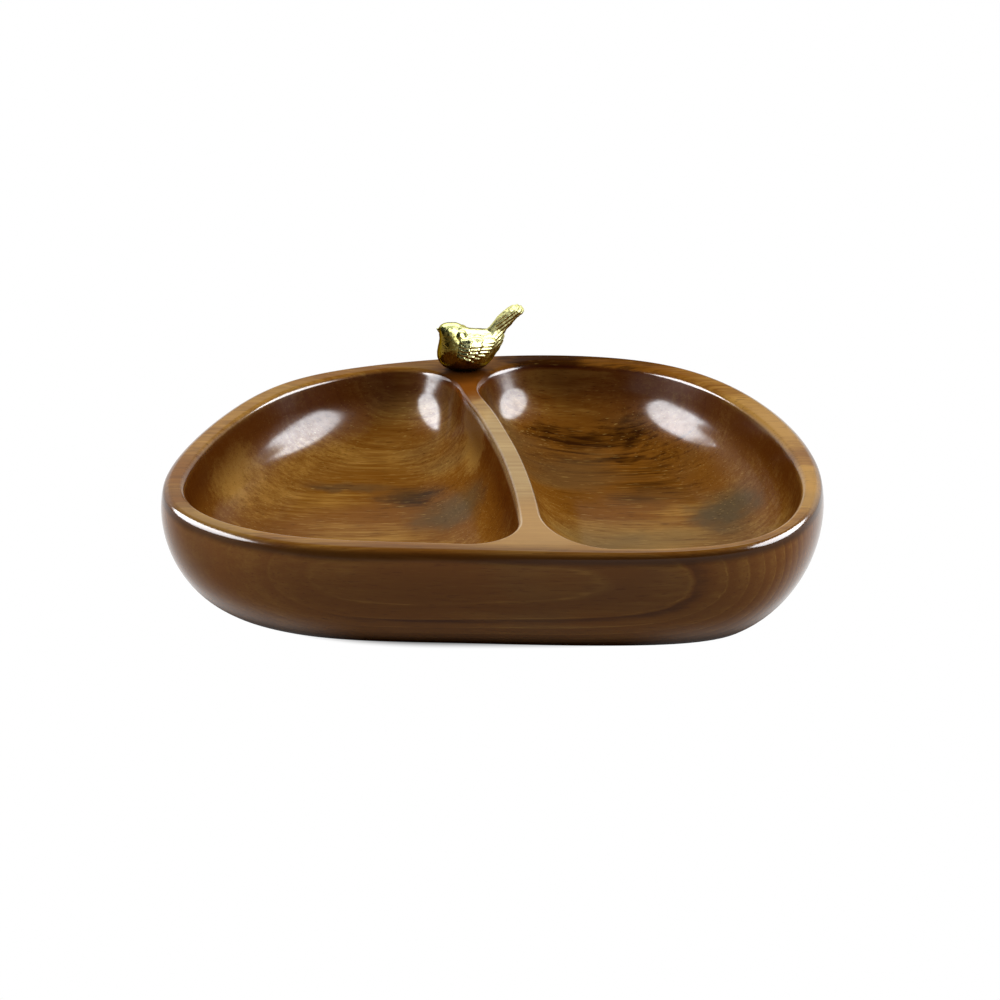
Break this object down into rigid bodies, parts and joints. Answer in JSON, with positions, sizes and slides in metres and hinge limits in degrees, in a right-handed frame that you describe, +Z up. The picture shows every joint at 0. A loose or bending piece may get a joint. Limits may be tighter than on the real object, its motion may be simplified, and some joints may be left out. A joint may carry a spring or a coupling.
{
  "type": "wooden snack dish",
  "caption": "Low carved wooden dish with a rounded outline, parted into pockets for snacks by a slim curved divider, with a small gilt bird ornament seated on the back rim.",
  "frame": {"origin": "middle of the bounding box at the underside that the dish stands on", "axes": "+Z up; X along the dish's length; -Y towards the long front side, with the bird at the back"},
  "size_m": [0.2828, 0.2228, 0.0848],
  "materials": {
    "lacquered_wood": "walnut-stained wood under clear gloss lacquer",
    "gilt_casting": "bright gold-coloured plating on a cast surface",
    "steel_pin": "plain"
  },
  "bodies": {
    "root": {"dish_body": "lacquered_wood", "bird_figurine": "gilt_casting", "bird_pin": "steel_pin"}
  },
  "joints": []
}
